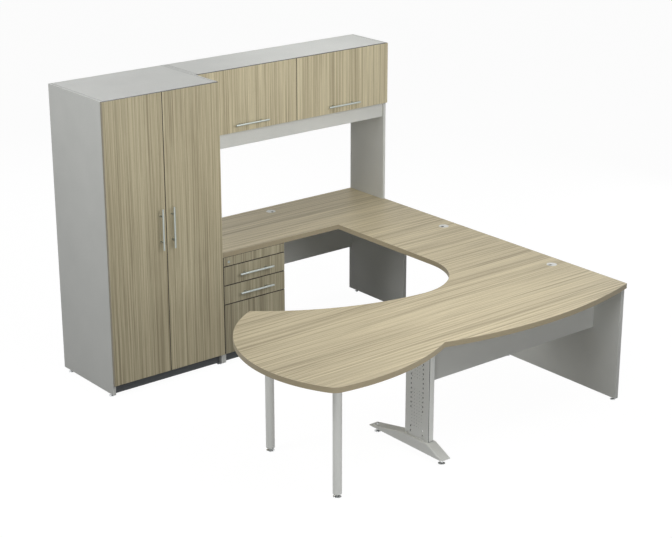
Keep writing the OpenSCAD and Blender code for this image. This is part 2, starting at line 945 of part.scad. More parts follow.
module slot() {
  translate([-slot_w / 2, -(slot_l - slot_w) / 2]) square([slot_w, slot_l - slot_w]);
  for (end = [-1, 1]) translate([0, end * (slot_l - slot_w) / 2]) circle(d = slot_w, $fn = 24);
}

module slot_rows(height) {
  high_count = floor((height - slot_high_z - slot_pitch) / slot_pitch) + 1;
  for (side = [-1, 1]) {
    for (i = [0:slot_low_count - 1]) translate([side * slot_in, slot_low_z + i * slot_pitch]) slot();
    for (i = [0:high_count - 1]) translate([side * slot_in, slot_high_z + i * slot_pitch]) slot();
  }
}

module perforations(height) {
  high_rows = floor((height - perforation_high_z - perforation_pitch) / perforation_pitch) + 1;
  for (column = [-2:2]) {
    for (row = [0:perforation_rows - 1])
      translate([column * perforation_pitch, perforation_low_z + row * perforation_pitch])
        circle(d = perforation_d, $fn = 16);
    for (row = [0:high_rows - 1])
      translate([column * perforation_pitch, perforation_high_z + row * perforation_pitch])
        circle(d = perforation_d, $fn = 16);
  }
}

module column_section(inset) {
  long = column_w / 2 - column_edge_r;
  short = column_t / 2 - column_edge_r;
  square([column_t - 2 * inset, 2 * long], center = true);
  square([2 * short, column_w - 2 * inset], center = true);
  for (x = [-short, short], y = [-long, long])
    translate([x, y]) circle(r = column_edge_r - inset, $fn = 32);
}

// Turns a face pattern upright and runs it through one wall, from the column's middle outwards
module through_wall(side) {
  rotate([90, 0, 90])
    translate([0, 0, min(side, 0) * (column_t / 2 + cut)]) linear_extrude(column_t / 2 + cut) children();
}

// Front view of the case, with its two lower corners rounded
module column_front(inset, height) {
  half = column_w / 2;
  translate([inset - half, column_corner_r]) square([column_w - 2 * inset, height - column_corner_r]);
  translate([column_corner_r - half, 0]) square([column_w - 2 * column_corner_r, height]);
  for (side = [-1, 1])
    translate([side * (half - column_corner_r), column_corner_r]) circle(r = column_corner_r - inset);
}

module column_case(inset, height) {
  intersection() {
    linear_extrude(height) column_section(inset);
    translate([-column_t / 2, 0, 0])
      rotate([90, 0, 90]) linear_extrude(column_t) column_front(inset, height);
  }
}

module leg_column() {
  column_h = top_z - arm_h - foot_h;
  color(leg_silver)
    translate([leg_x, column_y, foot_h]) {
      difference() {
        column_case(0, column_h);
        column_case(column_wall, column_h);
        for (side = [-1, 1])
          translate([-seam_groove_w / 2, side * column_w / 2 - column_wall / 2, column_corner_r])
            cube([seam_groove_w, column_wall, column_h]);
        through_wall(-1) {
          slot_rows(column_h);
          perforations(column_h);
        }
        through_wall(1) {
          slot_rows(column_h);
          translate([0, port_z - foot_h]) circle(d = port_d);
        }
      }
      translate([-column_t / 2, -arm_front, column_h]) cube([column_t, arm_front + arm_back, arm_h]);
    }
}

// Foot: a channel folded from sheet, open below, that falls from its flat middle to a tip at each
// end. Its top line runs through four points, and each slope is drawn a little past its tip.
foot_bottom_z = foot_tip_z - foot_t;
foot_pad_l = 56;
foot_pad_t = 2;
fold_flats = 6;
foot_front_end = -column_w / 2 - foot_front;
foot_back_end = column_w / 2 + foot_back;
front_slope = (foot_h - foot_tip_z) / (foot_front - foot_t);
back_slope = (foot_h - foot_tip_z) / foot_back;
foot_line = [
  [foot_front_end - cut, foot_tip_z - cut * front_slope], [-column_w / 2 - foot_t, foot_h],
  [column_w / 2, foot_h], [foot_back_end + cut, foot_tip_z - cut * back_slope]
];

// The way straight down into a length, seen from the side
function downward(from, to) = let (run = to - from) [run.y, -run.x] / norm(run);

// The way down the end of a length: upright at the tips, halved between two lengths at a bend
function end_way(i) =
  let (
    before = downward(foot_line[max(i - 1, 0)], foot_line[max(i, 1)]),
    after = downward(foot_line[min(i, 2)], foot_line[min(i + 1, 3)]))
  i == 0 || i == 3 ? [0, 1 / before.y] : (before + after) / (1 + before * after);

// Half the folded section as distances from the middle and below the top: the long fold is flats
function half_section(inset) =
  let (radius = foot_fold_r - inset)
  concat(
    [[foot_w / 2 - inset, foot_h]],
    [for (i = [0:fold_flats]) let (angle = 90 * i / fold_flats)
      [foot_w / 2 - foot_fold_r + radius * cos(angle), foot_fold_r - radius * sin(angle)]]);

module folded_form(inset) {
  half = half_section(inset);
  section = concat(half, [for (i = [len(half) - 1:-1:0]) [-half[i].x, half[i].y]]);
  count = len(section);
  polyhedron(
    points = [for (i = [0:3], point = section)
      [point.x, foot_line[i].x + point.y * end_way(i).x, foot_line[i].y + point.y * end_way(i).y]],
    faces = concat(
      [[for (j = [count - 1:-1:0]) j], [for (j = [0:count - 1]) 3 * count + j]],
      [for (i = [0:2], j = [0:count - 1]) let (a = i * count + j, b = i * count + (j + 1) % count)
        [a, b, b + count]],
      [for (i = [0:2], j = [0:count - 1]) let (a = i * count + j, b = i * count + (j + 1) % count)
        [a, b + count, a + count]]));
}

module leg_foot() {
  pad_in = foot_fold_r + foot_t;
  color(leg_silver)
    translate([leg_x, column_y, 0]) {
      difference() {
        intersection() {
          folded_form(0);
          board([-foot_w, foot_front_end, foot_bottom_z],
            [2 * foot_w, foot_back_end - foot_front_end, foot_h]);
        }
        folded_form(foot_t);
      }
      for (y = [foot_front_end, foot_back_end - foot_pad_l])
        board([pad_in - foot_w / 2, y, foot_bottom_z],
          [foot_w - 2 * pad_in, foot_pad_l, foot_pad_t]);
    }
}

post_plate_d = 110;
post_plate_t = 4;
post_cap_t = 2;
rear_post_in = [50, 245];
front_post_in = [189, 223];
rear_post = lobe_tip - rear_post_in;
front_post = lobe_corner + front_post_in;

module post(place) {
  translate([place.x, place.y, post_glide_h]) {
    tube_h = top_z - post_plate_t - post_glide_h;
    difference() {
      cylinder(d = post_d, h = tube_h);
      translate([0, 0, post_cap_t]) cylinder(d = post_d - 2 * post_wall, h = tube_h);
    }
    translate([0, 0, tube_h]) cylinder(d = post_plate_d, h = post_plate_t);
  }
}

module post_legs() {
  color(leg_silver) {
    post(rear_post);
    post(front_post);
  }
}

// Levelling glides: a domed disc on the floor and a screw up to the piece that it carries
glide_rim_h = 4;
glide_dome_h = 6;
glide_stem_d = 10;
foot_glide_d = 40;
foot_glide_in = 36;
post_glide_d = 46;
panel_glide_in = 29;
cabinet_glide_in = 40;
cabinet_glide_back = 66;
glide_gap = 2;

module glide(place, height, diameter) {
  dome_r = (pow(diameter / 2, 2) + pow(glide_dome_h, 2)) / (2 * glide_dome_h);
  translate([place.x, place.y, 0]) {
    cylinder(d = diameter, h = glide_rim_h);
    intersection() {
      translate([0, 0, glide_rim_h]) cylinder(d = diameter, h = glide_dome_h);
      translate([0, 0, glide_rim_h + glide_dome_h - dome_r]) sphere(r = dome_r);
    }
    cylinder(d = glide_stem_d, h = height);
  }
}

// The pedestal's glides stand further in, clear of those of the wardrobe beside it
module glides() {
  glide_ends = [cabinet_glide_in, cabinet_d - cabinet_glide_back];
  inner_ends = glide_ends + [glide_d + glide_gap, -glide_d - glide_gap];
  desk_panel_y = end_corner.y + end_panel_front_in;
  color(satin_steel) {
    for (x = [board_t / 2, wardrobe_w - board_t / 2, right_x - panel_t / 2], y = glide_ends)
      glide([x, y], glide_h, glide_d);
    for (x = [board_t / 2, pedestal_w - board_t / 2], y = inner_ends)
      glide([wardrobe_w + x, y], glide_h, glide_d);
    for (y = [desk_panel_y + panel_glide_in, seam_y - end_panel_back_in - panel_glide_in])
      glide([right_x - panel_t / 2, y], glide_h, glide_d);
    for (y = [-column_w / 2 - foot_front + foot_glide_in, column_w / 2 + foot_back - foot_glide_in])
      glide([leg_x, column_y + y], foot_bottom_z, foot_glide_d);
    for (place = [rear_post, front_post]) glide(place, post_glide_h, post_glide_d);
  }
}

// Flat steel plates that join the worktops across their seams from below
joint_plate = [160, 90, 3];
joint_plate_share = 0.25;

module joining_plates() {
  color(zinc_steel)
    for (y = [-door_t, seam_y], share = [joint_plate_share, 1 - joint_plate_share])
      translate([right_x - bridge_w * share, y, top_z - joint_plate.z / 2])
        cube([joint_plate.y, joint_plate.x, joint_plate.z], center = true);
}

suite() wardrobe_left_side();
suite() wardrobe_right_side();
suite() wardrobe_top();
suite() wardrobe_bottom();
suite() wardrobe_back();
suite() wardrobe_shelves();
suite() wardrobe_left_door();
suite() wardrobe_right_door();
suite() wardrobe_left_pull();
suite() wardrobe_right_pull();
suite() wardrobe_left_hinge_cups();
suite() wardrobe_right_hinge_cups();
suite() kick_boards();
suite() hutch_left_side();
suite() hutch_right_side();
suite() hutch_top();
suite() hutch_bottom();
suite() hutch_back();
suite() hutch_divider();
suite() hutch_valance();
suite() hutch_left_flap();
suite() hutch_right_flap();
suite() hutch_left_pull();
suite() hutch_right_pull();
suite() hutch_left_hinge_cups();
suite() hutch_right_hinge_cups();
suite() hinge_arms();
suite() credenza_top();
suite() credenza_end_panel();
suite() credenza_modesty();
suite() pedestal_sides();
suite() pedestal_back();
suite() pedestal_bottom();
suite() pedestal_lock_rail();
suite() pedestal_lock();
suite() upper_drawer_front();
suite() upper_drawer_box();
suite() upper_drawer_pull();
suite() middle_drawer_front();
suite() middle_drawer_box();
suite() middle_drawer_pull();
suite() file_drawer_front();
suite() file_drawer_box();
suite() file_drawer_pull();
suite() drawer_runners();
suite() file_slide_middle();
suite() bridge_top();
suite() desk_top();
suite() edge_bands();
suite() desk_end_panel();
suite() desk_modesty();
suite() leg_column();
suite() leg_foot();
suite() post_legs();
suite() glides();
suite() grommet_liners();
suite() credenza_grommet_cap();
suite() bridge_grommet_cap();
suite() desk_grommet_cap();
suite() joining_plates();
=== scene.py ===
# Executive desk suite, dressed for the camera: wood and grey laminate boards, satin pulls, zinc hinges
# and runners, a powder-coated frame and chromed glides. Everything is in metres, where the CAD puts it.
import json
from math import radians

import bmesh
import bpy
from mathutils import Euler, Matrix, Vector


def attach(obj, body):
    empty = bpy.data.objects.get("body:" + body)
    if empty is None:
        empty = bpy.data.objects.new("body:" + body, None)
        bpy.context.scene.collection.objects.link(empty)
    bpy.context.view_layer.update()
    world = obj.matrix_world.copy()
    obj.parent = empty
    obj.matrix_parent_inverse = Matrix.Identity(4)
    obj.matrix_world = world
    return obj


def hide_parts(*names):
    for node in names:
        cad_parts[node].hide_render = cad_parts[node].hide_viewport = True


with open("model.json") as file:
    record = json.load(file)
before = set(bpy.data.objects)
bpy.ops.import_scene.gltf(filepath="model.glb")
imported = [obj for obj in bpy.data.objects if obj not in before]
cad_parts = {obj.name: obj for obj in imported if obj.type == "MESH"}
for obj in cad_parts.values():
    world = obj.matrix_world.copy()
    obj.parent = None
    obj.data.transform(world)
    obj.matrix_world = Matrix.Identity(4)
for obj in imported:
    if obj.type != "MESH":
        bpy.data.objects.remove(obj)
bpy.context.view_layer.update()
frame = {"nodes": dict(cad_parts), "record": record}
bodies = frame["record"]["behaviour"]["bodies"]
body_of = {node: body for body, nodes in bodies.items() for node in nodes}


# ---- Carcass boards ----------------------------------------------------------------------------------
# Chipboard faced on both sides with pale grey laminate, sawn to size, edge-banded in the same grey and
# joined with dowels and cams. Their edges are eased by about a millimetre, which catches the light.

def paint(red, green, blue):
    """A colour as it looks, 0 to 255, turned into the light that a shader wants."""
    def light(part):
        return part / 12.92 if part <= 0.04045 else ((part + 0.055) / 1.055) ** 2.4

    return light(red / 255), light(green / 255), light(blue / 255), 1


class Wire:
    """One output of a shader node. Sums on values add the Math nodes that work them out."""

    def __init__(self, recipe, socket):
        self.recipe, self.socket = recipe, socket

    def worked(self, operation, *values):
        return self.recipe.add("Math", {"operation": operation}, dict(enumerate(values)))

    def __add__(self, other):
        return self.worked("ADD", self, other)

    def __mul__(self, other):
        return self.worked("MULTIPLY", self, other)

    __radd__ = __add__


class Recipe:
    """One finish, written as nodes: a new material, or the world that it is given."""

    def __init__(self, name, world=None):
        self.material = world or bpy.data.materials.new(name)
        self.material.use_nodes = True
        self.tree = self.material.node_tree
        self.tree.nodes.clear()
        self.place = None if world else self.add("TexCoord", {}, {}, "Object")

    def add(self, kind, settings, inputs, output=0):
        node = self.tree.nodes.new("ShaderNode" + kind)
        for key, value in settings.items():
            if key != "stops":
                setattr(node, key, value)
                continue
            ramp = node.color_ramp.elements
            while len(ramp) < len(value):
                ramp.new(0.5)
            for stop, (at, colour) in zip(ramp, value):
                stop.position, stop.color = at, colour
        for key, value in inputs.items():
            if isinstance(value, Wire):
                self.tree.links.new(value.socket, node.inputs[key])
            else:
                node.inputs[key].default_value = value
        return Wire(self, node.outputs[output]) if node.outputs else None

    def turned(self, shift, turn):
        placed = {"Vector": self.place, "Location": shift, "Rotation": Euler(turn)}
        return self.add("Mapping", {}, placed)

    def drawn_out(self, place, scale):
        return self.add("VectorMath", {"operation": "MULTIPLY"}, {0: place, 1: scale})

    def noise(self, place, scale, detail=2.0, roughness=0.5):
        grain = {"Vector": place, "Scale": scale, "Detail": detail, "Roughness": roughness}
        return self.add("TexNoise", {}, grain)

    def ramp(self, value, stops):
        return self.add("ValToRGB", {"stops": stops}, {0: value})

    def blend(self, share, first, second):
        return self.add("Mix", {"data_type": "RGBA"}, {0: share, 6: first, 7: second}, 2)

    def bumped(self, height, strength, distance):
        return self.add("Bump", {}, {"Height": height, "Strength": strength, "Distance": distance})

    def surfaced(self, **values):
        sockets = {key.replace("_", " ").title().replace("Ior", "IOR"): value
                   for key, value in values.items()}
        self.add("OutputMaterial", {}, {"Surface": self.add("BsdfPrincipled", {}, sockets)})
        return self.material


def grey_laminate(name, light, dark):
    """Plain grey print under a fine matt skin."""
    r = Recipe(name)
    print_dots = r.noise(r.place, 1500, 2, 0.7)
    cloud = r.noise(r.place, 5, 3)
    colour = r.ramp(print_dots * 0.8 + cloud * 0.2, [(0.36, dark), (0.62, light)])
    skin = r.noise(r.place, 2600, 1)
    return r.surfaced(base_color=colour, roughness=0.5 + print_dots * 0.16,
                      normal=r.bumped(skin, 0.12, 0.00008), specular_ior_level=0.22)


carcass_grey = grey_laminate("carcass_grey_laminate", paint(224, 225, 221), paint(206, 208, 204))


def shade_evenly(piece):
    """Big flat faces shade flat right up to their eased edges. The piece has to be the active one."""
    even = piece.modifiers.new("even_shading", "WEIGHTED_NORMAL")
    even.mode, even.weight, even.keep_sharp = "FACE_AREA", 60, True
    bpy.ops.object.modifier_apply(modifier=even.name)


def fitted(node, finish, ease=0.0005, steps=2, clean=True):
    """The finished piece that stands for one CAD piece: triangles joined, edges eased, finish put on."""
    piece = bpy.data.objects.new(node + "_finished", frame["nodes"][node].data.copy())
    bpy.context.scene.collection.objects.link(piece)
    bpy.ops.object.select_all(action="DESELECT")
    piece.select_set(True)
    bpy.context.view_layer.objects.active = piece
    bpy.ops.object.mode_set(mode="EDIT")
    bpy.ops.mesh.select_all(action="SELECT")
    bpy.ops.mesh.remove_doubles(threshold=0.00001)
    if clean:
        bpy.ops.mesh.dissolve_limited(angle_limit=radians(0.3))
    bpy.ops.object.mode_set(mode="OBJECT")
    if ease:
        bevel = piece.modifiers.new("eased_edges", "BEVEL")
        bevel.width, bevel.segments = ease, steps
        bevel.limit_method, bevel.angle_limit = "ANGLE", radians(40)
        bpy.ops.object.modifier_apply(modifier=bevel.name)
    bpy.ops.object.shade_smooth_by_angle(angle=radians(32))
    shade_evenly(piece)
    piece.data.materials.clear()
    piece.data.materials.append(finish)
    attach(piece, body_of[node])
    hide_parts(node)
    return piece


# Dark grey painted shade for the eased edges along the joints in the cabinets' tops
joint_shadow = grey_laminate("board_joint_shadow", paint(104, 105, 102), paint(84, 85, 83))
board_ease = 0.0012
# Where two boards meet in the cabinets' tops, along X; the eased edges beside each joint take a painted
# shade
cabinet_top, top_joints = 1.825, (-1.1074, -0.3334, -0.3154, -0.2974, 1.1886)
carcass_boards = (
    "wardrobe_left_side", "wardrobe_right_side", "wardrobe_top", "wardrobe_bottom", "wardrobe_back",
    "wardrobe_shelves", "hutch_left_side", "hutch_right_side", "hutch_top", "hutch_bottom",
    "hutch_back", "hutch_divider", "hutch_valance", "credenza_end_panel", "credenza_modesty",
    "pedestal_sides", "pedestal_back", "pedestal_bottom", "desk_end_panel", "desk_modesty",
)
for board in carcass_boards:
    piece = fitted(board, carcass_grey, ease=board_ease)
    piece.data.materials.append(joint_shadow)
    for face in piece.data.polygons:
        beside_joint = any(abs(face.center.x - joint) < 0.0016 for joint in top_joints)
        on_eased_edge = 0.1 < abs(face.normal.x) < 0.97
        if beside_joint and on_eased_edge and face.center.z > cabinet_top - 0.002:
            face.material_index = 1


# ---- Kick boards -------------------------------------------------------------------------------------
# Two low boards set back under the wardrobe and the pedestal, faced in matt dark grey so that scuffs
# don't show. They are dowelled between the carcass sides.

def kick_laminate():
    r = Recipe("kick_dark_laminate")
    scuff = r.noise(r.drawn_out(r.place, (4, 4, 40)), 3, 4, 0.6)
    colour = r.ramp(scuff, [(0.35, paint(82, 85, 87)), (0.7, paint(96, 99, 101))])
    return r.surfaced(base_color=colour, roughness=0.55 + scuff * 0.15, specular_ior_level=0.3,
                      normal=r.bumped(r.noise(r.place, 1800, 1), 0.15, 0.0001))


fitted("kick_boards", kick_laminate())


# ---- Wood laminate fronts ----------------------------------------------------------------------------
# Doors, flaps, drawer fronts and the lock rail: chipboard faced with a pale streaked woodgrain laminate.
# The grain stands upright on every front, and a cream edge band is glued round each one; painted shade
# darkens the bands that face gaps and those of the wardrobe's left door.

def woodgrain(name, turn, shift, light, mid, dark):
    """Pale streaked laminate. In the turned place, X runs along the grain."""
    r = Recipe(name)
    place = r.turned(shift, turn)
    sway = r.noise(r.drawn_out(place, (1.1, 2.5, 2.5)), 1, 1)
    offset = r.add("CombineXYZ", {}, {"X": 0.0, "Y": sway * 0.012, "Z": sway * 0.012})
    wavy = r.add("VectorMath", {"operation": "ADD"}, {0: place, 1: offset})
    bands = r.noise(r.drawn_out(wavy, (0.5, 12, 12)), 1, 1, 0.5)
    streaks = r.noise(r.drawn_out(wavy, (0.7, 72, 72)), 1, 1, 0.5)
    lines = r.noise(r.drawn_out(wavy, (0.9, 190, 190)), 1, 2, 0.6)
    fibres = r.noise(r.drawn_out(wavy, (7, 480, 480)), 1, 2, 0.6)
    pores = r.noise(r.drawn_out(wavy, (45, 900, 900)), 1, 1)
    tone = bands * 0.15 + streaks * 0.25 + lines * 0.44 + fibres * 0.16
    colour = r.ramp(tone, [(0.41, paint(*dark)), (0.5, paint(*mid)), (0.59, paint(*light))])
    open_pores = r.ramp(pores, [(0.62, (0, 0, 0, 1)), (0.72, (0.35, 0.35, 0.35, 1))])
    pored = r.blend(open_pores, colour, paint(*dark))
    return r.surfaced(base_color=pored, roughness=0.4 + fibres * 0.2, specular_ior_level=0.35,
                      normal=r.bumped(fibres * 0.6 + pores * 0.4, 0.2, 0.00012))


def edge_strip(name, colour):
    r = Recipe(name)
    line = r.noise(r.drawn_out(r.place, (30, 30, 900)), 1, 2)
    body = paint(*colour)
    shade = tuple(part * 0.86 for part in body[:3]) + (1,)
    return r.surfaced(base_color=r.ramp(line, [(0.35, shade), (0.65, body)]), roughness=0.38 + line * 0.2,
                      normal=r.bumped(line, 0.15, 0.0001), specular_ior_level=0.4)


cream_band = edge_strip("front_edge_band", (204, 196, 172))
# A darker band for the wardrobe's left door: painted shade on its outer sides
shaded_band = edge_strip("outer_door_edge_painted_shade", (160, 152, 133))
# Near-black painted shade for the narrow sides that face a gap between fronts
gap_painted_shade = edge_strip("front_gap_painted_shade", (46, 42, 35))


def banded(piece, band, gaps, gap_painted_shade):
    """Bands a front's narrow sides; those that face one of the gaps take a near-black painted shade."""
    piece.data.materials.append(band)
    piece.data.materials.append(gap_painted_shade)
    for face in piece.data.polygons:
        at_gap = any(face.normal.dot(Vector(way)) > 0.35 for way in gaps)
        face.material_index = 0 if abs(face.normal.y) > 0.97 else 2 if at_gap else 1


upright = (0, radians(90), 0)
left, right, up, down = (-1, 0, 0), (1, 0, 0), (0, 0, 1), (0, 0, -1)
# Where each front is cut out of the woodgrain, and which of its sides face a gap and take painted shade
fronts = {
    "wardrobe_left_door": ((0.31, 0.9, 4.2), [right, up]),
    "wardrobe_right_door": ((5.3, 2.2, 7.1), [left, up]),
    "hutch_left_flap": ((2.7, 5.1, 1.6), [right, up]),
    "hutch_right_flap": ((8.4, 3.3, 2.9), [left, up]),
    "pedestal_lock_rail": ((3.1, 7.4, 0.5), [left, up, down]),
    "upper_drawer_front": ((6.2, 7.4, 0.52), [left, up, down]),
    "middle_drawer_front": ((4.9, 7.4, 0.56), [left, up, down]),
    "file_drawer_front": ((1.3, 7.4, 0.61), [left, up]),
}
# One laminate, painted lighter on the flaps where more light falls and darker on the pedestal's fronts as
# shade under the desk: the light, middle and dark streaks of each
front_tones_with_painted_light = {
    "door": ((202, 193, 163), (182, 172, 143), (150, 140, 114)),
    "flap": ((214, 204, 173), (195, 185, 155), (162, 151, 124)),
    "pedestal": ((190, 182, 155), (168, 160, 134), (138, 130, 108)),
}
for front, (shift, gaps) in fronts.items():
    front_kind = "door" if "door" in front else "flap" if "flap" in front else "pedestal"
    laminate = woodgrain(front + "_laminate", upright, shift, *front_tones_with_painted_light[front_kind])
    piece = fitted(front, laminate, ease=0.0017 if front_kind == "pedestal" else board_ease)
    banded(piece, shaded_band if front == "wardrobe_left_door" else cream_band, gaps, gap_painted_shade)


# ---- Hinges ------------------------------------------------------------------------------------------
# Concealed cup hinges of pressed and zinc-plated steel: a cup let into each door's back, and an arm
# screwed to a plate on the carcass side or, for the flaps, under the hutch's top.

def zinc_plate():
    r = Recipe("zinc_plated_steel")
    bloom = r.noise(r.place, 90, 4, 0.6)
    colour = r.ramp(bloom, [(0.3, paint(168, 171, 173)), (0.7, paint(200, 202, 203))])
    return r.surfaced(base_color=colour, metallic=1.0, roughness=0.26 + bloom * 0.2,
                      normal=r.bumped(r.noise(r.place, 1200, 2), 0.08, 0.00005))


zinc = zinc_plate()
for hinge in ("wardrobe_left_hinge_cups", "wardrobe_right_hinge_cups", "hutch_left_hinge_cups",
              "hutch_right_hinge_cups", "hinge_arms"):
    fitted(hinge, zinc, ease=0.0003, steps=1)


# ---- Pulls -------------------------------------------------------------------------------------------
# Straight bar pulls of steel tube with satin nickel plating, each on two posts screwed from behind. The
# brushing runs along the bar.

def satin_nickel(name, along):
    r = Recipe(name)
    scale = [1400, 1400, 1400]
    scale[along] = 30
    brushed = r.noise(r.drawn_out(r.place, scale), 1, 2, 0.6)
    colour = r.ramp(brushed, [(0.3, paint(164, 171, 168)), (0.7, paint(188, 195, 191))])
    return r.surfaced(base_color=colour, metallic=1.0, roughness=0.3 + brushed * 0.16,
                      normal=r.bumped(brushed, 0.1, 0.00004))


nickel_upright = satin_nickel("satin_nickel_upright", 2)
nickel_level = satin_nickel("satin_nickel_level", 0)
for pull in ("wardrobe_left_pull", "wardrobe_right_pull"):
    fitted(pull, nickel_upright, ease=0, clean=False)
for pull in ("hutch_left_pull", "hutch_right_pull", "upper_drawer_pull", "middle_drawer_pull",
             "file_drawer_pull"):
    fitted(pull, nickel_level, ease=0, clean=False)


# ---- Pedestal inside ---------------------------------------------------------------------------------
# Drawer boxes folded and spot-welded from zinc-plated sheet, on telescopic runners screwed to the
# pedestal's sides. The lock's barrel is nickel-plated and turns a flat cam behind the rail.

for steel in ("upper_drawer_box", "middle_drawer_box", "file_drawer_box", "drawer_runners",
              "file_slide_middle"):
    fitted(steel, zinc, ease=0.0003, steps=1)
fitted("pedestal_lock", nickel_level, ease=0.0003, steps=1)


# ---- Worktops ----------------------------------------------------------------------------------------
# Three boards, 30 mm thick, faced in the same woodgrain with the grain along the cabinets, and joined
# edge to edge by steel plates from below. A brown plastic band, 2 mm thick, runs round all of them.

level = (0, 0, 0)
top_tones = ((210, 198, 166), (190, 178, 148), (156, 144, 117))
tops = {"credenza_top": (1.7, 0.3, 0.1), "bridge_top": (0.2, 4.6, 0.9), "desk_top": (3.9, 2.4, 0.4)}
for top, shift in tops.items():
    fitted(top, woodgrain(top + "_laminate", level, shift, *top_tones), ease=0)
fitted("edge_bands", edge_strip("worktop_edge_band", (168, 156, 129)), ease=0)
fitted("joining_plates", zinc, ease=0.0003, steps=1)


# ---- Cable grommets ----------------------------------------------------------------------------------
# Moulded liners let into bored holes, and slotted caps that lift out, in pale grey plastic with a fine
# spark-eroded skin.

def moulded_plastic():
    r = Recipe("grommet_moulded_plastic")
    grain = r.noise(r.place, 2200, 2, 0.6)
    colour = r.ramp(r.noise(r.place, 40, 2), [(0.3, paint(212, 213, 209)), (0.7, paint(222, 223, 219))])
    return r.surfaced(base_color=colour, roughness=0.36 + grain * 0.16,
                      normal=r.bumped(grain, 0.2, 0.00008))


plastic = moulded_plastic()
for moulding in ("grommet_liners", "credenza_grommet_cap", "bridge_grommet_cap", "desk_grommet_cap"):
    fitted(moulding, plastic, ease=0.0004, steps=2)


# ---- Desk frame --------------------------------------------------------------------------------------
# A T-leg of folded and perforated sheet on a folded foot, and two tube legs with welded flanges, all
# powder-coated in silver grey. The column's inside and the walls of its slots are painted near-black, as
# shade.

def powder_coat():
    r = Recipe("silver_powder_coat")
    peel = r.noise(r.place, 900, 2, 0.6)
    flake = r.noise(r.place, 3500, 1)
    colour = r.ramp(flake, [(0.35, paint(218, 220, 216)), (0.65, paint(231, 232, 228))])
    return r.surfaced(base_color=colour, metallic=0.15, roughness=0.34 + peel * 0.16,
                      normal=r.bumped(peel, 0.12, 0.0001))


# Near-black steel: painted shade for the column's inside and the walls of its slots
def painted_shade_steel():
    r = Recipe("column_inside_painted_shade")
    stain = r.noise(r.place, 45, 4, 0.6)
    colour = r.ramp(stain, [(0.35, paint(38, 38, 38)), (0.7, paint(58, 57, 55))])
    return r.surfaced(base_color=colour, metallic=0.5, roughness=0.5 + stain * 0.2)


coat = powder_coat()
column = fitted("leg_column", coat, ease=0, clean=False)
column.data.materials.append(painted_shade_steel())
column_x, column_y = -0.1904, -0.9490
for face in column.data.polygons:
    across, along = abs(face.center.x - column_x), abs(face.center.y - column_y)
    on_inside = across < 0.0185 and along < 0.0985
    on_slot_wall = across < 0.0199 and along < 0.085
    if on_inside or on_slot_wall:
        face.material_index = 1
fitted("leg_foot", coat, ease=0.0004, steps=1, clean=False)
fitted("post_legs", coat, ease=0, clean=False)


# ---- Levelling glides --------------------------------------------------------------------------------
# Domed feet of pressed steel, chromed, on screws that turn in the boards, the foot and the posts.

def chrome_plate():
    r = Recipe("bright_chrome")
    haze = r.noise(r.place, 60, 3)
    colour = r.ramp(haze, [(0.3, paint(214, 216, 218)), (0.7, paint(232, 234, 235))])
    return r.surfaced(base_color=colour, metallic=1.0, roughness=0.06 + haze * 0.08)


chrome = chrome_plate()
fitted("glides", chrome, ease=0, clean=False)


# ---- Fixing screws -----------------------------------------------------------------------------------
# Zinc-plated screws with a driver socket: pan heads through plates, flanges and the T-leg's arm into the
# tops, and through doors and flaps into the pull posts; flat heads, let into recesses, through the backs
# into the shelves and the divider. A chromed head closes the rear glide's hole in the foot.

def pick_faces(piece, wanted):
    """In edit mode, selects the faces whose middle and normal pass a test, and nothing else."""
    bpy.ops.mesh.select_all(action="DESELECT")
    mesh = bmesh.from_edit_mesh(piece.data)
    for face in mesh.faces:
        face.select_set(wanted(face.calc_center_median(), face.normal))
    bmesh.update_edit_mesh(piece.data)


def disc_at_origin(width, height):
    bpy.ops.object.select_all(action="DESELECT")
    bpy.ops.mesh.primitive_cylinder_add(vertices=16, radius=width / 2, depth=height,
                                        location=(0, 0, height / 2))
    bpy.ops.object.transform_apply(location=True, rotation=True, scale=True)
    return bpy.context.object


def screw_head(width, height, socket):
    """A head that stands on the origin and points up, with a rounded rim and a socket."""
    head = disc_at_origin(width, height)
    rounding = height * 0.45
    bpy.ops.object.mode_set(mode="EDIT")
    pick_faces(head, lambda middle, normal: normal.z > 0.99)
    bpy.ops.mesh.bevel(offset=rounding, segments=3, affect="EDGES")
    pick_faces(head, lambda middle, normal: normal.z > 0.99 and middle.xy.length < rounding)
    bpy.ops.mesh.inset(thickness=(width - socket) / 2 - rounding)
    bpy.ops.mesh.extrude_region_move(TRANSFORM_OT_translate={"value": (0, 0, -height * 0.6)})
    bpy.ops.object.mode_set(mode="OBJECT")
    return head


def stood(at, way):
    """The move that takes a pattern from the origin to its place, pointing the way it is given."""
    return Matrix.Translation(at) @ Vector(way).to_track_quat("Z", "Y").to_matrix().to_4x4()


def set_out(pattern, name, places, finish, body):
    """Copies a pattern to its places, each with the way it points, and joins them as one piece."""
    bpy.ops.object.select_all(action="DESELECT")
    for at, way in places:
        copy = bpy.data.objects.new(name, pattern.data.copy())
        bpy.context.scene.collection.objects.link(copy)
        copy.data.transform(stood(at, way))
        copy.select_set(True)
        bpy.context.view_layer.objects.active = copy
    bpy.ops.object.join()
    piece = bpy.context.object
    bpy.ops.object.shade_smooth_by_angle(angle=radians(35))
    piece.data.materials.append(finish)
    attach(piece, body)


def recessed(board, places, width):
    """Drills flat-bottomed recesses into a finished board; each place is the middle of a bottom."""
    for at, way in places:
        drill = disc_at_origin(width, 0.006)
        drill.data.transform(stood(at, way))
        bpy.context.view_layer.objects.active = board
        recess = board.modifiers.new("recess", "BOOLEAN")
        recess.object, recess.solver = drill, "EXACT"
        bpy.ops.object.modifier_apply(modifier=recess.name)
        bpy.data.objects.remove(drill)
    shade_evenly(board)


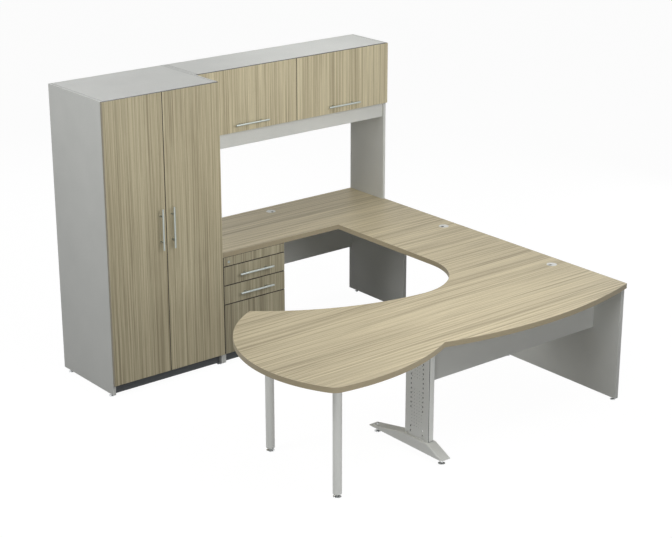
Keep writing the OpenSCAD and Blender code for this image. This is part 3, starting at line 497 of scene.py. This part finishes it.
screw = screw_head(width=0.0085, height=0.0028, socket=0.0038)
under_flange, under_plate, under_arm = 0.716, 0.717, 0.696
into_tops = []
for post_x, post_y in ((-0.8234, -0.4130), (-0.8844, -1.0830)):
    for turn in (45, 135, 225, 315):
        out = Euler((0, 0, radians(turn))).to_matrix() @ Vector((0.041, 0, 0))
        into_tops.append(((post_x + out.x, post_y + out.y, under_flange), down))
for plate_x in (0.7041, 1.0091):
    for plate_y in (-0.244, 0.656):
        for y in (0.02, 0.06, 0.1, 0.14):
            for x in (0.015, 0.075):
                into_tops.append(((plate_x + x, plate_y + y, under_plate), down))
for arm_y in (-1.13, -1.07, -0.8, -0.69, -0.58):
    into_tops.append(((column_x, arm_y, under_arm), down))
set_out(screw, "worktop_screws", into_tops, zinc, "suite")

behind = (0, 1, 0)
wall_face, recess_depth = 1.334045, 0.0012
recess_bottom = wall_face - recess_depth
flat_head = screw_head(width=0.0085, height=0.001, socket=0.0038)
into_shelves = [(x, z) for x in (-1.06, -0.84, -0.6, -0.38) for z in (0.4344, 0.7798, 1.1252, 1.4706)]
into_divider = [(0.4456, z) for z in (1.47, 1.62, 1.77)]
for board, spots in (("wardrobe_back", into_shelves), ("hutch_back", into_divider)):
    heads = [((x, recess_bottom, z), behind) for x, z in spots]
    recessed(bpy.data.objects[board + "_finished"], heads, width=0.0105)
    set_out(flat_head, board + "_screws", heads, zinc, "suite")
bpy.data.objects.remove(flat_head)

door_back, flap_back, pull_half = 0.754, 0.987, 0.08
for leaf, middle, run in (
        ("wardrobe_left_door", (-0.7604, door_back, 1.0), (0, 0, pull_half)),
        ("wardrobe_right_door", (-0.6804, door_back, 1.0), (0, 0, pull_half)),
        ("hutch_left_flap", (0.0756, flap_back, 1.472), (pull_half, 0, 0)),
        ("hutch_right_flap", (0.8156, flap_back, 1.472), (pull_half, 0, 0))):
    ends = [(Vector(middle) + side * Vector(run), behind) for side in (-1, 1)]
    set_out(screw, leaf + "_pull_screws", ends, zinc, leaf)
bpy.data.objects.remove(screw)

glide_head = screw_head(width=0.012, height=0.005, socket=0.003)
rear_hole, foot_slope = (column_x, -0.595, 0.0440), (0, 0.196, 0.981)
set_out(glide_head, "foot_glide_screw", [(rear_hole, foot_slope)], chrome, "suite")
bpy.data.objects.remove(glide_head)


# ---- Shelf pins and cam caps -------------------------------------------------------------------------
# Steel pins with a collar, pushed into bored holes in the wardrobe's sides, four under each shelf; and
# grey plastic caps that close the cam fittings on the hidden faces of both modesty panels.

pin = disc_at_origin(width=0.009, height=0.0015)
bpy.ops.object.mode_set(mode="EDIT")
pick_faces(pin, lambda middle, normal: normal.z > 0.99)
bpy.ops.mesh.inset(thickness=0.002)
bpy.ops.mesh.extrude_region_move(TRANSFORM_OT_translate={"value": (0, 0, 0.009)})
bpy.ops.mesh.bevel(offset=0.0008, segments=2, affect="EDGES")
bpy.ops.object.mode_set(mode="OBJECT")
left_side_inner, right_side_inner, pin_radius = -1.1074, -0.3334, 0.0025
under_shelves = []
for shelf_z in (0.4254, 0.7708, 1.1162, 1.4616):
    for pin_y in (0.87, 1.27):
        under_shelves.append(((left_side_inner, pin_y, shelf_z - pin_radius), right))
        under_shelves.append(((right_side_inner, pin_y, shelf_z - pin_radius), left))
set_out(pin, "shelf_pins", under_shelves, zinc, "suite")
bpy.data.objects.remove(pin)

cap = screw_head(width=0.018, height=0.0016, socket=0.005)
desk_modesty_back, credenza_modesty_back = -0.949, 1.328
cams = [((x, desk_modesty_back, z), behind) for x in (1.1476, -0.1264) for z in (0.48, 0.64)]
cams += [((x, credenza_modesty_back, z), behind) for x in (1.1476, 0.1926) for z in (0.39, 0.63)]
set_out(cap, "cam_caps", cams, plastic, "suite")
bpy.data.objects.remove(cap)


# ---- Studio ------------------------------------------------------------------------------------------
# A plain white floor that keeps a soft shadow, a white surround that only the camera and reflections
# see, and nine soft lamps, each set for the faces that it is named after.

def watched(r):
    """One for rays from the camera or from a mirror image, nought for light that falls on a piece."""
    return r.add("LightPath", {}, {}, "Is Camera Ray") + r.add("LightPath", {}, {}, "Is Glossy Ray")


bpy.ops.object.select_all(action="DESELECT")
bpy.ops.mesh.primitive_plane_add(size=80, location=(0, 0, 0))
floor = bpy.context.object
floor.name = "studio_floor"
r = Recipe("studio_white")
seen = watched(r)
floor_colour = r.blend(seen, (0.32, 0.32, 0.32, 1), (0.95, 0.95, 0.95, 1))
shadowed = r.add("BsdfDiffuse", {}, {"Color": floor_colour})
white = r.add("Emission", {}, {"Color": (1, 1, 1, 1), "Strength": 1.04})
mixed = r.add("MixShader", {}, {0: seen * 0.93, 1: shadowed, 2: white})
r.add("OutputMaterial", {}, {"Surface": mixed})
floor.data.materials.append(r.material)

r = Recipe("studio_surround", bpy.data.worlds.new("studio_surround"))
bpy.context.scene.world = r.material
ambient = r.add("Background", {}, {"Color": (1, 1, 1, 1), "Strength": 0.03})
white = r.add("Background", {}, {"Color": (1, 1, 1, 1), "Strength": 1.0})
r.add("OutputWorld", {}, {"Surface": r.add("MixShader", {}, {0: watched(r), 1: ambient, 2: white})})

# Each lamp's place, the point that it faces, its width and its power
softboxes = {
    "front": ((0.6, -5.5, 2.2), (0.3, 0.5, 1.2), 2.0, 38),
    "legs": ((-1.9, -2.6, 0.9), (-0.5, -0.9, 0.4), 0.8, 10),
    "left": ((-4.6, 0.4, 3.8), (-1.0, 0.4, 1.5), 2.4, 112),
    "lobe": ((-0.5, -2.4, 2.8), (0.2, 0.3, 1.2), 1.6, 25),
    "bridge": ((1.3, -0.4, 3.2), (0.8, 0.3, 0.8), 1.6, 8),
    "hutch": ((0.3, -1.6, 2.4), (0.3, 0.9, 1.6), 1.4, 22),
    "hutch_top": ((0.8, 1.25, 3.0), (0.8, 1.2, 1.8), 0.9, 6.2),
    "rear": ((0.8, 5.2, 3.4), (0.2, 0.8, 1.2), 2.4, 52),
    "right": ((5.0, 0.5, 1.8), (0, 0, 0.9), 2.4, 48),
}
for name, (at, towards, width, power) in softboxes.items():
    lamp = bpy.data.lights.new(name + "_softbox", "AREA")
    lamp.shape, lamp.size, lamp.energy = "SQUARE", width, power
    stand = bpy.data.objects.new(name + "_softbox", lamp)
    stand.location = at
    stand.rotation_euler = (Vector(towards) - Vector(at)).to_track_quat("-Z", "Y").to_euler()
    bpy.context.scene.collection.objects.link(stand)

# The camera looks down at the suite from in front of the wardrobe's free side
picture_width, focal_length = 672, 1651.7
camera = bpy.data.objects.new("camera", bpy.data.cameras.new("camera"))
bpy.context.scene.collection.objects.link(camera)
camera.data.sensor_width = 36
camera.data.lens = focal_length / picture_width * camera.data.sensor_width
camera.location = (-5.8104, -7.1660, 4.0420)
camera.rotation_euler = (radians(90 - 19.47), 0, radians(-38.95))
camera.data.clip_end = 200
bpy.context.scene.camera = camera

bpy.context.scene.view_settings.view_transform = "Standard"
